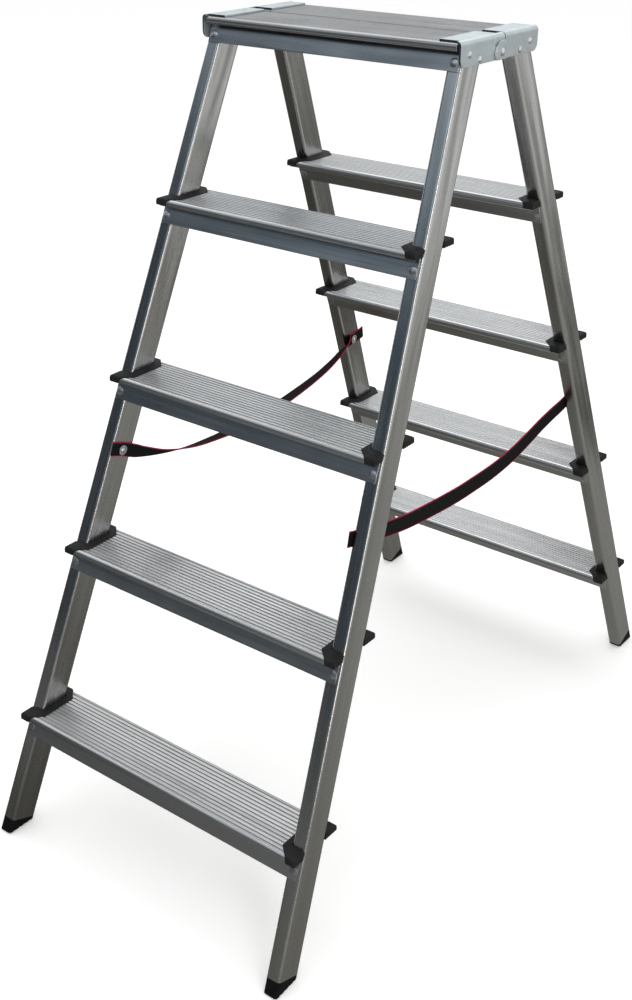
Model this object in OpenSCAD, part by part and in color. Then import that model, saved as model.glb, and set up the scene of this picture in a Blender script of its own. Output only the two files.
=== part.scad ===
// Trestle ladder with two climbing sides, a split platform, hinge plates and two spreader straps.
// Millimetres, +Z up, X across the steps, Y front to back. The feet stand on z = 0.

/* [Overall] */
// Height of the platform's top face above the floor
platform_h = 1050; // [700:1:1400]
// Height of the lowest step's top face above the floor
low_step_h = 166; // [120:1:220]
// Number of steps below the platform on each side
step_count = 4; // [4:1:4]
// Lean of each frame from upright, in degrees
lean = 21.7; // [15:0.1:26]
// Splay of each stile inside the plane of its frame, in degrees
splay = 2.75; // [0:0.05:5]
// Width over the stiles at the platform's top face
top_w = 374; // [300:1:480]

/* [Stiles] */
// Depth of the stile tube, front to back
stile_d = 40; // [30:1:60]
// Width of the stile tube, side to side
stile_w = 20; // [16:1:30]
// Wall of the stile tube
stile_wall = 1.5; // [1:0.1:3]
// Outside corner radius of the stile tube
stile_r = 4; // [2:0.5:8]

/* [Steps and platform] */
// Depth of a step, nose to nose
step_d = 80; // [60:1:110]
// Depth of each half of the platform
platform_d = 90; // [80:1:120]
// Thickness of the top plate under its ribs
plate_t = 2; // [1.5:0.1:4]
// Height of the ribs on the top plate
rib_h = 1; // [0.4:0.1:1.5]
// Distance between two grooves
rib_pitch = 6; // [4:0.5:10]
// Width of a groove at its mouth
groove_w = 2.8; // [1:0.1:4]
// Width of a groove at its floor
groove_floor = 1.8; // [0.6:0.1:3]
// Outside radius of the round nose along the front and back of a step
nose_r = 5; // [3.5:0.5:5.5]
// Straight part of the nose lip under its rounding
nose_lip = 1.6; // [1:0.1:5]
// Thickness of the nose lip
nose_t = 2.4; // [1.5:0.1:3]
// Height of the webs, from the step's top face
web_h = 32; // [24:1:50]
// Thickness of the webs
web_t = 1.8; // [1.2:0.1:3]
// How far the step's ends stop inside the outer face of the stile
step_inset = 3; // [1:0.5:6]
// Air around the stile where the top plate is notched for it
notch_gap = 0.8; // [0.3:0.1:2]
// Gap between the two halves of the platform
split_gap = 1.5; // [0.4:0.1:3]
// Rounding of the platform's edges along the split
split_r = 2.5; // [1:0.1:3]
// Depth of the turned-down edge along the platform's split
split_lip_h = 7; // [4:0.5:9]

/* [Edge guards] */
// How far the guard's front and back ends reach past the step's noses
guard_over = 2; // [1:0.5:6]
// How far the guard reaches inward from the stile's outer face
guard_w = 30; // [26:0.5:45]
// Width of the guard's two ears at their tips
guard_tip = 13; // [10:0.5:24]
// Where the guard starts to taper, measured from its middle
guard_taper = 25.5; // [20:0.5:34]
// Height of the guard's raised middle above the step's top face
guard_up = 3; // [1.5:0.5:6]
// Height of the guard's rim above the step's top face
guard_edge = 0.8; // [0.4:0.1:1.4]
// Width of the slope from the guard's rim to its raised middle
guard_slope = 8; // [4:0.5:9]
// How far the guard's skirt reaches below the nose
guard_skirt = 0.4; // [0:0.1:4]
// Rounding of the guard's front and back ends
guard_r = 7; // [4:0.5:8]
// Air between the guard and the stile that runs through it
guard_gap = 0.25; // [0.1:0.05:0.5]

/* [Hinges] */
// Drop of the pivot below the platform's top face
pivot_drop = 19; // [16:0.5:24]
// Thickness of the hinge plates
hinge_t = 2.5; // [1.5:0.1:4]
// Height of the hinge plate below the platform's top face
hinge_drop = 27.5; // [22:0.5:40]
// How far the hinge plate's flange reaches in over the platform
flange_w = 30; // [15:0.5:50]
// Inside bend radius of the hinge plate
bend_r = 3; // [1:0.5:6]
// Radius of the lower outer corner of the hinge plate
hinge_corner = 10; // [4:0.5:14]
// Radius of the raised ear round the pivot
ear_r = 13.5; // [10:0.5:18]
// Radius of the front plate's round end
eye_r = 11; // [8:0.5:15]
// Reach of the front plate's side past the split
tail_l = 9; // [4:0.5:12]
// Where the rear plate's flange starts behind the split
slot_back = 11; // [4:0.5:16]
// Width of the open slot between the two flanges
slot_w = 15; // [8:0.5:20]
// Side play between the ear and the plate under it
ear_gap = 0.3; // [0.2:0.05:0.6]
// Diameter of the pivot's shank
pivot_d = 6; // [5:0.5:12]
// Radial running clearance of the pivot in the ear
pivot_gap = 0.05; // [0.02:0.01:0.1]
// Diameter of the pivot's head
pivot_head_d = 10; // [8:0.5:20]

/* [Fasteners] */
// Diameter of the blind rivets' shanks
rivet_d = 4.8; // [3:0.1:6.4]
// Diameter of the rivets' dome heads
rivet_head_d = 8.4; // [6:0.1:12]
// Height of the rivets' dome heads
rivet_head_h = 2; // [1:0.1:3]
// Diameter of the step rivets' low heads
step_head_d = 11.5; // [9:0.5:14]
// Height of the step rivets' low heads
step_head_h = 1.3; // [0.8:0.1:2]
// Radial clearance of a rivet in its hole
rivet_gap = 0.05; // [0.02:0.01:0.2]
// Diameter of the set tail inside the tube
rivet_tail_d = 7; // [5:0.1:9]
// Length of the set tail inside the tube
rivet_tail_l = 2.6; // [1:0.1:4]
// Drop of the step rivets below the step's top face
rivet_drop = 23; // [16:0.5:28]
// Length left for a wall that isn't square to its rivet
rivet_slack = 0.4; // [0.2:0.05:0.6]
// Gap left between two faces that sit on each other
seat = 0.05; // [0.02:0.01:0.2]

/* [Straps] */
// Drop of the strap rivets below the second step's top face
strap_drop = 102; // [70:1:140]
// How far from the middle the strap's plane turns from one frame to the other
strap_bow = 30; // [10:1:60]
// Width of the strap
strap_w = 20; // [15:1:40]
// Thickness of the strap
strap_t = 1.6; // [1:0.1:3]
// Diameter of the washer under the strap rivet's head
washer_d = 14; // [10:0.5:20]
// Thickness of the washer
washer_t = 1.2; // [0.6:0.1:2]

/* [Feet] */
// Height of the foot under the stile's inner edge
foot_min = 4; // [2:0.5:10]
// Length of the plug inside the tube
plug_l = 28; // [15:1:60]
// Gap between the plug and the tube's inside
plug_gap = 0.1; // [0.05:0.05:0.4]
// Wall of the hollow plug
plug_wall = 2.4; // [1.5:0.1:4]
// Depth of the grooves across the sole
sole_groove = 1; // [0.5:0.1:2]

/* [Hidden] */
$fn = 32;

// Depth of the leaning tube along the floor
stile_run = stile_d / cos(lean);
// Overhang of a step in front of and behind the stile
overhang = (step_d - stile_run) / 2;
// Distance of the stile's front face from the split, at the platform's top face
front_y = platform_d - overhang;
// Whole thickness of a ribbed top plate
deck_t = plate_t + rib_h;
// Rounding along the split, never more than the plate holds
edge_r = min(split_r, deck_t - 0.4);
// Whole height of the nose and of the guard's skirt round it
nose_h = nose_r + nose_lip;
guard_down = nose_h + guard_skirt;
// Whole length of the guard, front to back
guard_l = step_d + 2 * guard_over;
// Height of the pivot above the floor
pivot_h = platform_h - pivot_drop;
// Hole diameters
rivet_hole_d = rivet_d + 2 * rivet_gap;
pivot_hole_d = pivot_d + 2 * pivot_gap;
// Side faces of the hinge plates: inner, outer and the two faces of the ear
hinge_x = top_w / 2 + hinge_drop * tan(splay) / cos(lean) + seat;
hinge_out = hinge_x + hinge_t;
ear_x = hinge_out + ear_gap;
ear_out = ear_x + hinge_t;
// Half length of the platform
platform_half = hinge_x - bend_r - 0.2;
// Length of a hinge plate, flush with its platform half
hinge_len = platform_d;
// Vertical distance between two step tops
pitch = (platform_h - low_step_h) / step_count;
// Height of the step tops, the first entry is the platform
tops = [for (i = [0 : step_count]) platform_h - i * pitch];
// Height of the strap rivets above the floor
strap_h = tops[2] - strap_drop;
// Length of a cutter that passes right through the ladder
cut_l = 2 * top_w;
// Height of a hinge plate's outline before the bend trims it
hinge_rise = 2 * hinge_drop;
// Stile ends, measured down the frame from the platform's top face
stile_top = -(deck_t + 1.6) / cos(lean);
stile_cut = (foot_min - platform_h + stile_d * sin(lean)) / cos(lean);
// Hinge rivets: distance behind the stile's front face and drop under the platform's top face
hinge_rivets = [[6.6, 14], [33.3, 22]];
// Grooves that fit on a step and on a platform half
step_grooves = floor((step_d - 2 * nose_r - groove_w) / rib_pitch) + 1;
platform_grooves = floor((platform_d - split_gap / 2 - nose_r - edge_r - groove_w) / rib_pitch);

// Outer face of a stile in its frame's plane, f is measured up the frame
function outer_at(f) = top_w / 2 - f * tan(splay);
// Frame coordinate of a height on the face at depth n
function frame_f(z, n) = (z - platform_h + n * sin(lean)) / cos(lean);
// Half width over the stiles at a height, on the stile's front face
function half_at(z) = outer_at(frame_f(z, 0));
// Inner face of the right stile as x over y and z
function inner_x(y, z) = top_w / 2 - stile_w / cos(splay)
    - tan(splay) * (sin(lean) * (front_y - norm([y, strap_bow])) + cos(lean) * (z - platform_h));

// Places a child drawn for the front frame on the front or, turned round, on the rear frame.
// Drawn for the right end, a child is mirrored for the left end. Seen from behind, the rear
// frame's right end lies on the left, so the turn swaps the ends.
module on_frame(rear, left) {
    turn = rear ? 180 : 0;
    if (left != rear) rotate([0, 0, turn]) mirror([1, 0, 0]) children();
    else rotate([0, 0, turn]) children();
}

// The plane of the front frame: y runs into the stile from its front face, z up the frame.
module frame_plane() {
    translate([0, -front_y, platform_h]) rotate([-lean, 0, 0]) children();
}

// Along the right stile: x = 0 is its outer face, y = 0 its front face.
module along_stile() {
    frame_plane() translate([top_w / 2, 0, 0]) rotate([0, -splay, 0]) children();
}

// A rectangle with round corners from circles and squares.
module round_rect(w, d, r) {
    translate([r, 0]) square([w - 2 * r, d]);
    translate([0, r]) square([w, d - 2 * r]);
    for (x = [r, w - r], y = [r, d - r]) translate([x, y]) circle(r);
}

// The stile as a plain block, grown by g, used to cut what the stile runs through.
module stile_block(g, low, high) {
    along_stile() translate([-stile_w - g, -g, low])
        cube([stile_w + g + 20, stile_d + 2 * g, high - low]);
}

// Dome head on a shank that goes down to z = -l, with the set tail below it.
module rivet(head_d, head_h, d, l, tail_d, tail_l) {
    ball = (head_d * head_d / 4 + head_h * head_h) / (2 * head_h);
    intersection() {
        translate([0, 0, head_h - ball]) sphere(ball, $fn = 48);
        cylinder(d = head_d, h = head_h + 1);
    }
    translate([0, 0, -l]) cylinder(d = d, h = l + 0.4);
    translate([0, 0, -l - tail_l]) cylinder(d = tail_d, h = tail_l);
}

// Rivet positions on the stile's front and rear faces under every top plate, for the right end.
// The child is drawn with z out of the face.
module at_step_rivets(levels) {
    for (i = levels) {
        zr = tops[i] - rivet_drop;
        ff = frame_f(zr, 0);
        fr = frame_f(zr, stile_d);
        frame_plane() {
            translate([outer_at(ff) - stile_w / 2, 0, ff]) rotate([90, 0, 0]) children();
            translate([outer_at(fr) - stile_w / 2, stile_d, fr]) rotate([-90, 0, 0]) children();
        }
    }
}

// Hinge rivet positions on the right end, z out of the hinge plate's outer face.
module at_hinge_rivets() {
    for (p = hinge_rivets)
        translate([hinge_out, -front_y - p[1] * tan(lean) + p[0], platform_h - p[1]])
            rotate([0, 90, 0]) children();
}

// Strap rivet position on the right stile's inner face, z into the ladder.
module at_strap_rivet() {
    along_stile() translate([-stile_w, stile_d / 2, frame_f(strap_h, stile_d / 2) / cos(splay)])
        rotate([0, -90, 0]) children();
}

// Hollow tube, rounded corners, square ends, holes for the rivets.
module stile(rear, left) {
    low = stile_cut / cos(splay);
    high = stile_top / cos(splay);
    color([0.75, 0.76, 0.77]) on_frame(rear, left) difference() {
        along_stile() translate([-stile_w, 0, low]) linear_extrude(high - low) difference() {
            round_rect(stile_w, stile_d, stile_r);
            translate([stile_wall, stile_wall])
                round_rect(stile_w - 2 * stile_wall, stile_d - 2 * stile_wall, stile_r - stile_wall);
        }
        at_step_rivets([0 : step_count])
            translate([0, 0, -3]) cylinder(d = rivet_hole_d, h = 6);
        at_hinge_rivets() translate([0, 0, -hinge_t - 5]) cylinder(d = rivet_hole_d, h = 10);
        at_strap_rivet() translate([0, 0, -3]) cylinder(d = rivet_hole_d, h = 6);
    }
}

// A web that lies on a stile face, y0 and y1 where its faces would meet the top face.
// It starts inside the plate and runs down along the lean.
module web(y0, y1) {
    start = rib_h + plate_t / 2;
    polygon([for (p = [[y0, start], [y1, start], [y1, web_h], [y0, web_h]])
        [p[0] - p[1] * tan(lean), -p[1]]]);
}

// Round nose with its outside at y = 0, the plate going to +y: a quarter of a tube over a short lip.
module nose() {
    difference() {
        union() {
            translate([nose_r, -nose_r]) circle(nose_r);
            translate([0, -nose_h + nose_t / 2])
                square([nose_t, max(nose_lip - nose_t / 2, 0.1)]);
            translate([nose_t / 2, -nose_h + nose_t / 2]) circle(nose_t / 2);
            translate([nose_r, -deck_t]) square([nose_r, deck_t]);
        }
        translate([nose_r, -nose_r]) circle(nose_r - nose_t);
        translate([nose_t, -2 * nose_h]) square([2 * nose_r, 2 * nose_h - nose_r]);
        translate([nose_r, -nose_h]) square([2 * nose_r, nose_h - deck_t]);
    }
}

// Grooves from one side of a deck to the other, centred on y.
module grooves(y, count) {
    for (i = [0 : count - 1]) {
        c = y + (i - (count - 1) / 2) * rib_pitch;
        polygon([[c - groove_w / 2, 0.5], [c - groove_w / 2, 0], [c - groove_floor / 2, -rib_h],
                 [c + groove_floor / 2, -rib_h], [c + groove_w / 2, 0], [c + groove_w / 2, 0.5]]);
    }
}

// Deck of a step: y = 0 on the stile's front face, z = 0 on the top face.
module step_deck() {
    difference() {
        union() {
            translate([-overhang + nose_r, -deck_t]) square([step_d - 2 * nose_r, deck_t]);
            translate([-overhang, 0]) nose();
            translate([step_d - overhang, 0]) mirror([1, 0]) nose();
        }
        grooves(stile_run / 2, step_grooves);
    }
}

// Deck of a platform half, y as for a step, up to the rounded edge on its own side of the split.
module platform_deck() {
    last = front_y - split_gap / 2;
    first = -overhang + nose_r;
    difference() {
        union() {
            translate([first, -deck_t]) square([last - edge_r - first, deck_t]);
            translate([-overhang, 0]) nose();
            translate([last - 2 * edge_r, -edge_r]) intersection() {
                translate([edge_r, 0]) circle(edge_r);
                square(2 * edge_r);
            }
            translate([last - 2 * edge_r, -deck_t]) square([2 * edge_r, deck_t - edge_r]);
            translate([last - nose_t, -split_lip_h]) square([nose_t, split_lip_h - edge_r]);
        }
        grooves((first + last - edge_r) / 2, platform_grooves);
    }
}

// The two webs that lie on the stiles' front and rear faces.
module webs(half) {
    web_run = web_t / cos(lean);
    gap_run = seat / cos(lean);
    along_x(half) web(-web_run - gap_run, -gap_run);
    along_x(half) web(stile_run + gap_run, stile_run + gap_run + web_run);
}

// Draws a section lying in y and z along x, both ways from the middle.
module along_x(half) {
    translate([-half, 0, 0]) rotate([90, 0, 90]) linear_extrude(2 * half) children();
}

// Ribbed step with its webs on the stiles and its ends notched round them.
module step(rear, i) {
    color([0.79, 0.80, 0.81]) on_frame(rear, rear) difference() {
        translate([0, -front_y - (platform_h - tops[i]) * tan(lean), tops[i]]) {
            along_x(half_at(tops[i]) - step_inset) step_deck();
            webs(half_at(tops[i]) - step_inset);
        }
        for (m = [0, 1]) mirror([m, 0, 0]) {
            f = frame_f(tops[i], stile_d / 2);
            along_stile() translate([-stile_w - notch_gap, 0, f - 30])
                cube([stile_w + notch_gap + 20, stile_d, 60]);
            at_step_rivets([i]) translate([0, 0, -1]) cylinder(d = rivet_hole_d, h = 8);
        }
    }
}

// Half of the platform with its webs on the stiles.
module platform(rear) {
    color([0.79, 0.80, 0.81]) on_frame(rear, rear) difference() {
        translate([0, -front_y, platform_h]) {
            along_x(platform_half) platform_deck();
            webs(platform_half);
        }
        for (m = [0, 1]) mirror([m, 0, 0])
            at_step_rivets([0]) translate([0, 0, -1]) cylinder(d = rivet_hole_d, h = 8);
    }
}

// Plan of an edge guard: x from the stile's outer face inward (negative), y from its middle,
// drawn in by g. It runs a little past the guard's ends, which the side outline then rounds.
function guard_plan(g) =
    let (y = guard_l / 2 + 0.5 - g)
    [[-g, -y], [-guard_tip + g / 2, -y], [-guard_w + g, -guard_taper],
     [-guard_w + g, guard_taper], [-guard_tip + g / 2, y], [-g, y]];

// Side outline with two round upper corners: y from its middle, z from the step's top face.
module bull_outline(l, up, down, r) {
    translate([-l / 2 + r, -down]) square([l - 2 * r, down + up]);
    translate([-l / 2, -down]) square([l, down + up - r]);
    for (m = [-1, 1]) translate([m * (l / 2 - r), up - r]) circle(r);
}

// Plastic guard over a step's end: a skin on the top face that slopes down to a thin rim,
// skirts round the noses, open to the stile.
module guard(rear, left, i) {
    xo = half_at(tops[i]) - 0.2;
    yc = -front_y - (platform_h - tops[i]) * tan(lean) + stile_run / 2;
    f = frame_f(tops[i], stile_d / 2);
    inner = half_at(tops[i]) - step_inset + seat * 2;
    color([0.07, 0.07, 0.08]) on_frame(rear, left) difference() {
        intersection() {
            translate([xo, yc, tops[i]]) hull() {
                translate([0, 0, -guard_down]) linear_extrude(guard_down + guard_edge)
                    polygon(guard_plan(0));
                translate([0, 0, guard_up - 0.05]) linear_extrude(0.05)
                    polygon(guard_plan(guard_slope));
            }
            translate([0, yc, tops[i]]) rotate([90, 0, 90]) linear_extrude(cut_l)
                bull_outline(guard_l, guard_up + 0.5, guard_down + 1, guard_r);
        }
        translate([0, yc, tops[i]]) rotate([90, 0, 90]) linear_extrude(inner)
            bull_outline(step_d + 4 * seat, seat, guard_down + 2, nose_r + 2 * seat);
        stile_block(guard_gap, f - 30, f + 30);
    }
}

// Foot: wedge flush with the tube, level sole with grooves, hollow plug inside the tube.
module foot(rear, left) {
    low = stile_cut / cos(splay);
    inset = stile_wall + plug_gap;
    sole_y = -front_y - platform_h * tan(lean);
    color([0.08, 0.08, 0.09]) on_frame(rear, left) difference() {
        along_stile() {
            translate([-stile_w, 0, low - stile_d]) linear_extrude(stile_d - seat)
                round_rect(stile_w, stile_d, stile_r);
            translate([-stile_w, 0, low - 0.5]) linear_extrude(plug_l) difference() {
                translate([inset, inset])
                    round_rect(stile_w - 2 * inset, stile_d - 2 * inset, stile_r - inset);
                translate([inset + plug_wall, inset + plug_wall])
                    square([stile_w - 2 * (inset + plug_wall), stile_d - 2 * (inset + plug_wall)]);
            }
        }
        translate([0, sole_y - stile_d, -2 * stile_d]) cube([top_w, 3 * stile_d, 2 * stile_d]);
        for (k = [1 : 4])
            translate([0, sole_y + k * stile_run / 5 - sole_groove, -sole_groove])
                cube([top_w, 2 * sole_groove, 2 * sole_groove]);
    }
}

// Bent profile of a hinge plate in x and z: flange over the platform, plate down the side.
module hinge_profile() {
    over = platform_h + seat;
    difference() {
        union() {
            translate([hinge_x, platform_h - hinge_drop])
                square([hinge_t, hinge_drop + seat - bend_r]);
            translate([hinge_x - flange_w, over]) square([flange_w - bend_r, hinge_t]);
            intersection() {
                translate([hinge_x - bend_r, over - bend_r]) circle(bend_r + hinge_t, $fn = 48);
                translate([hinge_x - bend_r, over - bend_r]) square(bend_r + hinge_t);
            }
        }
        translate([hinge_x - bend_r, over - bend_r]) circle(bend_r, $fn = 48);
    }
}

// Side outline of the front hinge plate, y along the plate and z up.
module hinge_side_front() {
    low = platform_h - hinge_drop;
    translate([-hinge_len + hinge_corner, low]) square([hinge_len - hinge_corner, hinge_rise]);
    translate([-hinge_len, low + hinge_corner]) square([hinge_len, hinge_rise]);
    translate([-hinge_len + hinge_corner, low + hinge_corner]) circle(hinge_corner, $fn = 48);
    translate([-1, pivot_h + eye_r * 0.75]) square([tail_l + 1, hinge_rise]);
    intersection() {
        translate([0, pivot_h]) circle(eye_r, $fn = 64);
        translate([-2 * eye_r, low]) square([4 * eye_r, hinge_rise]);
    }
}

// Side outline of the rear hinge plate without its ear.
module hinge_side_rear() {
    low = platform_h - hinge_drop;
    first = tail_l + 1.5;
    difference() {
        union() {
            translate([first, low]) square([hinge_len - hinge_corner - first, hinge_rise]);
            translate([first, low + hinge_corner]) square([hinge_len - first, hinge_rise]);
            translate([hinge_len - hinge_corner, low + hinge_corner]) circle(hinge_corner, $fn = 48);
        }
        translate([0, pivot_h]) circle(eye_r + 0.6, $fn = 64);
    }
}

// Steel angle plate on the right end of the front frame: flange, round end, holes.
module front_hinge_plate(left) {
    color([0.70, 0.73, 0.77]) mirror([left ? 1 : 0, 0, 0]) difference() {
        intersection() {
            translate([0, cut_l / 2, 0]) rotate([90, 0, 0]) linear_extrude(cut_l) hinge_profile();
            rotate([90, 0, 90]) linear_extrude(cut_l) hinge_side_front();
        }
        translate([hinge_x - 2 * flange_w, -hinge_len - 10, platform_h - 1])
            cube([2 * flange_w - bend_r, 16, 10]);
        translate([hinge_x - 2 * flange_w, slot_back - slot_w, platform_h - 1])
            cube([2 * flange_w - bend_r, slot_w + tail_l, 10]);
        translate([0, 0, pivot_h]) rotate([0, 90, 0]) cylinder(d = pivot_hole_d, h = cut_l, $fn = 48);
        at_hinge_rivets() translate([0, 0, -hinge_t - 2]) cylinder(d = rivet_hole_d, h = 10);
    }
}

// Steel angle plate on the right end of the rear frame, its ear raised over the front plate.
module rear_hinge_plate(left) {
    low = platform_h - hinge_drop;
    color([0.70, 0.73, 0.77]) mirror([left ? 1 : 0, 0, 0]) difference() {
        union() {
            intersection() {
                translate([0, cut_l / 2, 0]) rotate([90, 0, 0]) linear_extrude(cut_l) hinge_profile();
                rotate([90, 0, 90]) linear_extrude(cut_l) hinge_side_rear();
            }
            // The ear and the step that joins it to the plate
            translate([ear_x, 0, 0]) rotate([90, 0, 90]) linear_extrude(hinge_t) intersection() {
                translate([0, pivot_h]) circle(ear_r, $fn = 64);
                translate([-2 * ear_r, low]) square([4 * ear_r, hinge_rise]);
            }
            translate([hinge_x, 0, 0]) rotate([90, 0, 90]) linear_extrude(hinge_t * 2 + ear_gap - 0.5)
                intersection() {
                    translate([0, pivot_h]) circle(ear_r, $fn = 64);
                    hinge_side_rear();
                }
        }
        translate([hinge_x - 2 * flange_w, hinge_len - 6, platform_h - 1])
            cube([2 * flange_w - bend_r, 16, 10]);
        translate([hinge_x - 2 * flange_w, 0, platform_h - 1])
            cube([2 * flange_w - bend_r, slot_back, 10]);
        translate([0, 0, pivot_h]) rotate([0, 90, 0]) cylinder(d = pivot_hole_d, h = cut_l, $fn = 48);
        mirror([0, 1, 0])
            at_hinge_rivets() translate([0, 0, -hinge_t - 2]) cylinder(d = rivet_hole_d, h = 10);
    }
}

// Two solid pivots, their heads outside the ears and their tails inside the front plates.
module pivot_rivets() {
    grip = ear_out + seat - (hinge_x - seat);
    color([0.80, 0.81, 0.83]) for (m = [0, 1]) mirror([m, 0, 0])
        translate([ear_out + seat, 0, pivot_h]) rotate([0, 90, 0])
            rivet(pivot_head_d, 2.4, pivot_d, grip, pivot_d + 4, 2);
}

// Rivets of the steps and the platform half of one frame.
module step_rivets(rear) {
    head = (web_t + 2 * seat);
    grip = head + stile_wall + seat;
    color([0.86, 0.87, 0.88]) for (left = [false, true]) on_frame(rear, left)
        at_step_rivets([0 : step_count])
            translate([0, 0, head])
                rivet(step_head_d, step_head_h, rivet_d, grip, rivet_tail_d, rivet_tail_l);
}

// Rivets that hold one frame's hinge plates to its stiles.
module hinge_rivet_set(rear) {
    p = hinge_rivets[0];
    face = outer_at(frame_f(platform_h - p[1], p[0] * cos(lean)));
    grip = hinge_out - face + stile_wall + rivet_slack;
    color([0.86, 0.87, 0.88]) for (left = [false, true]) on_frame(rear, left)
        at_hinge_rivets() translate([0, 0, seat])
            rivet(rivet_head_d, rivet_head_h, rivet_d, grip, rivet_tail_d, 2);
}

// Rivets through washer, strap and stile wall.
module strap_rivets(rear) {
    head = strap_t + washer_t + 4 * seat;
    color([0.86, 0.87, 0.88]) for (left = [false, true]) on_frame(rear, left)
        at_strap_rivet() translate([0, 0, head])
            rivet(rivet_head_d, rivet_head_h, rivet_d, head + stile_wall + seat,
                  rivet_tail_d, rivet_tail_l);
}

// Washers that press the strap's ends on the stiles.
module strap_washers(rear) {
    color([0.82, 0.83, 0.84]) for (left = [false, true]) on_frame(rear, left)
        at_strap_rivet() translate([0, 0, strap_t + 3 * seat]) difference() {
            cylinder(d = washer_d, h = washer_t, $fn = 48);
            translate([0, 0, -1]) cylinder(d = rivet_hole_d, h = washer_t + 2);
        }
}

// Centre lines of the hanging straps: [place, drop below the rivet, twist in degrees, lift].
// Place and drop are hundredths of the way from the middle to the rivet, the lift away from the
// stile's plane is in hundredths of half the strap's width.
right_route = [
    [-110, -2.6, 0, 0], [-105, -1.2, 0, 0], [-100, 0, 0, 0], [-95, 1.5, 0, 0], [-88, 3.4, 2, 4],
    [-77, 6, 4, 8], [-64, 8.6, 6, 12], [-51, 10.6, 8, 16], [-38, 12.2, 10, 20], [-25, 13.6, 12, 22],
    [-12, 14.6, 12, 22], [1, 15, 12, 22], [14, 15, 12, 22], [27, 14.2, 10, 20], [40, 12.4, 8, 16],
    [54, 9.4, 6, 12], [67, 6.2, 4, 8], [79, 3.8, 2, 4], [88, 2.3, 0, 0], [95, 1, 0, 0],
    [100, 0, 0, 0], [105, -0.8, 0, 0], [110, -1.8, 0, 0]];
left_route = [
    [-107, -2.4, 0, 0], [-104, -1.4, 0, 0], [-100, 0, 0, 0], [-97, 1.3, 0, 0], [-92, 3.6, -12, 22],
    [-88, 5.4, -26, 40], [-77, 9.5, -50, 62], [-64, 13, -64, 76], [-51, 15.4, -74, 82],
    [-38, 16.6, -81, 82], [-25, 17.4, -86, 82], [-12, 17.6, -89, 82], [1, 17.4, -90, 82],
    [14, 16.8, -90, 82], [27, 15.7, -88, 80], [40, 14.2, -85, 76], [54, 12.2, -80, 70],
    [67, 9.8, -74, 60], [79, 6.4, -66, 50], [85, 3.9, -60, 44], [88, 2.6, -54, 41],
    [91, 1.4, -42, 40], [93.5, 0.6, -22, 39], [97, 0.1, 0, 0], [100, 0, 0, 0],
    [105, -0.8, 0, 0], [110, -1.8, 0, 0]];
// Distance of the strap rivets from the middle of the ladder
strap_y = front_y - stile_d / 2 * cos(lean) - frame_f(strap_h, stile_d / 2) * sin(lean);
// A route in millimetres, [y, z, twist, lift]
function route(r) = [for (p = r)
    [p[0] * strap_y / 100, strap_h - p[1] * strap_y / 100, p[2], p[3] / 100 * strap_w / 2]];

// Four corners of the strap's section at route point i, in y and z with x from the stile's face.
function strap_ring(r, i, side) =
    let (a = r[max(i - 1, 0)], b = r[min(i + 1, len(r) - 1)], p = r[i],
         l = norm([b[0] - a[0], b[1] - a[1]]),
         up = [-(b[1] - a[1]) / l, (b[0] - a[0]) / l],
         c = cos(p[2]) * strap_w / 2, s = sin(p[2]) * strap_w / 2,
         mid = strap_t / 2 + 2 * seat + p[3])
    [for (k = [[-1, -1], [1, -1], [1, 1], [-1, 1]])
        let (y = p[0] + k[1] * c * up[0] + k[0] * sin(p[2]) * strap_t / 2 * up[0],
             z = p[1] + k[1] * c * up[1] + k[0] * sin(p[2]) * strap_t / 2 * up[1],
             x = inner_x(y, z) - mid - k[0] * cos(p[2]) * strap_t / 2 + k[1] * s)
        [side * x, y, z]];

// A flat strap swept along its route, one closed solid.
module strap_solid(r, side) {
    n = len(r);
    points = [for (i = [0 : n - 1]) each strap_ring(r, i, side)];
    faces = concat(
        [[0, 1, 2], [0, 2, 3]],
        [for (i = [0 : n - 2], k = [0 : 3])
            each [[4 * i + k, 4 * i + 4 + k, 4 * i + 4 + (k + 1) % 4],
                  [4 * i + k, 4 * i + 4 + (k + 1) % 4, 4 * i + (k + 1) % 4]]],
        [[4 * n - 4, 4 * n - 2, 4 * n - 3], [4 * n - 4, 4 * n - 1, 4 * n - 2]]);
    polyhedron(points, side > 0 ? faces : [for (f = faces) [f[2], f[1], f[0]]]);
}

module strap(left) {
    side = left ? -1 : 1;
    color([0.10, 0.10, 0.11]) difference() {
        strap_solid(route(left ? left_route : right_route), side);
        for (rear = [false, true]) on_frame(rear, left)
            at_strap_rivet() translate([0, 0, -2]) cylinder(d = rivet_hole_d, h = 8);
    }
}

stile(false, true);  // front_left_stile
stile(false, false);  // front_right_stile
stile(true, true);  // rear_left_stile
stile(true, false);  // rear_right_stile
step(false, 1);  // front_step_1
step(false, 2);  // front_step_2
step(false, 3);  // front_step_3
step(false, 4);  // front_step_4
step(true, 1);  // rear_step_1
step(true, 2);  // rear_step_2
step(true, 3);  // rear_step_3
step(true, 4);  // rear_step_4
platform(false);  // front_platform
platform(true);  // rear_platform
front_hinge_plate(true);  // front_left_hinge_plate
front_hinge_plate(false);  // front_right_hinge_plate
rear_hinge_plate(true);  // rear_left_hinge_plate
rear_hinge_plate(false);  // rear_right_hinge_plate
pivot_rivets();
foot(false, true);  // front_left_foot
foot(false, false);  // front_right_foot
foot(true, true);  // rear_left_foot
foot(true, false);  // rear_right_foot
guard(false, true, 1);  // front_left_guard_1
guard(false, true, 2);  // front_left_guard_2
guard(false, true, 3);  // front_left_guard_3
guard(false, true, 4);  // front_left_guard_4
guard(false, false, 1);  // front_right_guard_1
guard(false, false, 2);  // front_right_guard_2
guard(false, false, 3);  // front_right_guard_3
guard(false, false, 4);  // front_right_guard_4
guard(true, true, 1);  // rear_left_guard_1
guard(true, true, 2);  // rear_left_guard_2
guard(true, true, 3);  // rear_left_guard_3
guard(true, true, 4);  // rear_left_guard_4
guard(true, false, 1);  // rear_right_guard_1
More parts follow.
